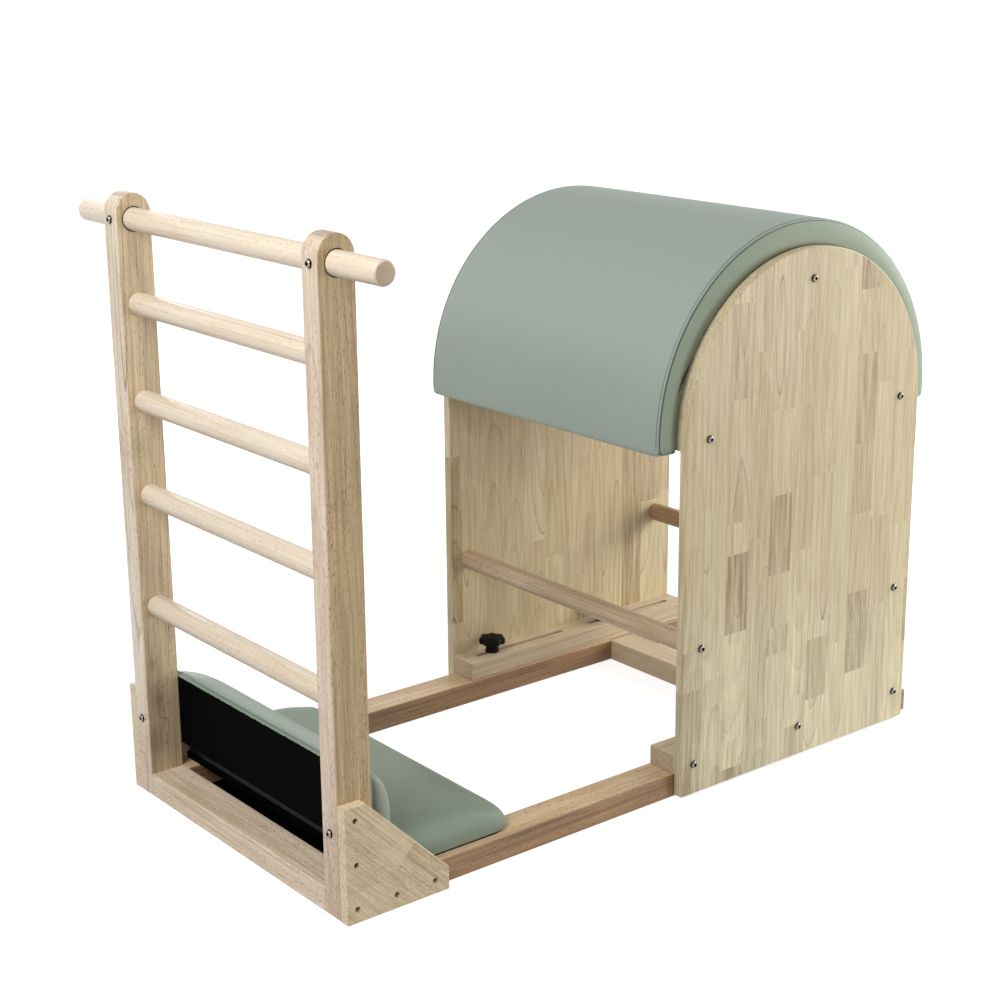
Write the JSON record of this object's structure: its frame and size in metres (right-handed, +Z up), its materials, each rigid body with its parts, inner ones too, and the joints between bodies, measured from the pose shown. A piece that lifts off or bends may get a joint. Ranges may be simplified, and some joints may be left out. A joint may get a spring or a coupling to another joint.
{
  "type": "pilates ladder barrel",
  "caption": "Wooden ladder on a low base frame, with a padded half-round barrel that slides along the side rails and is clamped by star knobs.",
  "frame": {"origin": "on the floor, at the middle of the object's outline in X and Y", "axes": "+X from the ladder to the barrel, +Y across from the near side to the far side, +Z up"},
  "size_m": [1.2658, 0.82, 1],
  "materials": {
    "rubberwood": "satin",
    "black_board": "matte",
    "sage_vinyl": "satin",
    "knob_plastic": "satin",
    "stainless_steel": "polished",
    "brass": "satin"
  },
  "bodies": {
    "frame": {"upright_near": "rubberwood", "upright_far": "rubberwood", "ladder_bolt_top_near": "stainless_steel", "ladder_bolt_low_near": "stainless_steel", "ladder_bolt_top_far": "stainless_steel", "ladder_bolt_low_far": "stainless_steel", "handle_bar": "rubberwood", "rung_1": "rubberwood", "rung_2": "rubberwood", "rung_3": "rubberwood", "rung_4": "rubberwood", "front_cross_rail": "rubberwood", "rear_cross_rail": "rubberwood", "side_rail_near": "rubberwood", "side_rail_far": "rubberwood", "gusset_near": "rubberwood", "gusset_far": "rubberwood", "back_board": "black_board", "back_cushion": "sage_vinyl", "foot_board": "black_board", "foot_cushion": "sage_vinyl", "insert_front_near": "brass", "insert_rear_near": "brass", "insert_front_far": "brass", "insert_rear_far": "brass"},
    "barrel": {"barrel_panel_near": "rubberwood", "barrel_panel_far": "rubberwood", "runner_near": "rubberwood", "runner_far": "rubberwood", "dowel_front": "rubberwood", "dowel_rear": "rubberwood", "batten_front": "rubberwood", "batten_rear": "rubberwood", "batten_top": "rubberwood", "barrel_deck": "rubberwood", "barrel_cushion": "sage_vinyl", "bolt_runner_front_near": "stainless_steel", "bolt_runner_middle_near": "stainless_steel", "bolt_runner_rear_near": "stainless_steel", "bolt_dowel_front_near": "stainless_steel", "bolt_dowel_rear_near": "stainless_steel", "bolt_batten_front_near": "stainless_steel", "bolt_batten_rear_near": "stainless_steel", "bolt_batten_top_near": "stainless_steel", "bolt_runner_front_far": "stainless_steel", "bolt_runner_middle_far": "stainless_steel", "bolt_runner_rear_far": "stainless_steel", "bolt_dowel_front_far": "stainless_steel", "bolt_dowel_rear_far": "stainless_steel", "bolt_batten_front_far": "stainless_steel", "bolt_batten_rear_far": "stainless_steel", "bolt_batten_top_far": "stainless_steel"},
    "clamp_front_near": {"knob_front_near": "knob_plastic", "stud_front_near": "stainless_steel"},
    "clamp_rear_near": {"knob_rear_near": "knob_plastic", "stud_rear_near": "stainless_steel"},
    "clamp_front_far": {"knob_front_far": "knob_plastic", "stud_front_far": "stainless_steel"},
    "clamp_rear_far": {"knob_rear_far": "knob_plastic", "stud_rear_far": "stainless_steel"}
  },
  "joints": [
    {"name": "barrel_slide", "type": "slide", "parent": "frame", "child": "barrel", "axis": [1, 0, 0], "range_m": [-0.17, 0.03]},
    {"name": "knob_front_near_turn", "type": "hinge", "parent": "frame", "child": "clamp_front_near", "pos_m": [0.1049, -0.2705, 0.0746], "axis": [0, 0, 1], "range_deg": [0, 720]},
    {"name": "knob_rear_near_turn", "type": "hinge", "parent": "frame", "child": "clamp_rear_near", "pos_m": [0.3829, -0.2705, 0.0746], "axis": [0, 0, 1], "range_deg": [0, 720]},
    {"name": "knob_front_far_turn", "type": "hinge", "parent": "frame", "child": "clamp_front_far", "pos_m": [0.1049, 0.2705, 0.0746], "axis": [0, 0, 1], "range_deg": [0, 720]},
    {"name": "knob_rear_far_turn", "type": "hinge", "parent": "frame", "child": "clamp_rear_far", "pos_m": [0.3829, 0.2705, 0.0746], "axis": [0, 0, 1], "range_deg": [0, 720]}
  ]
}
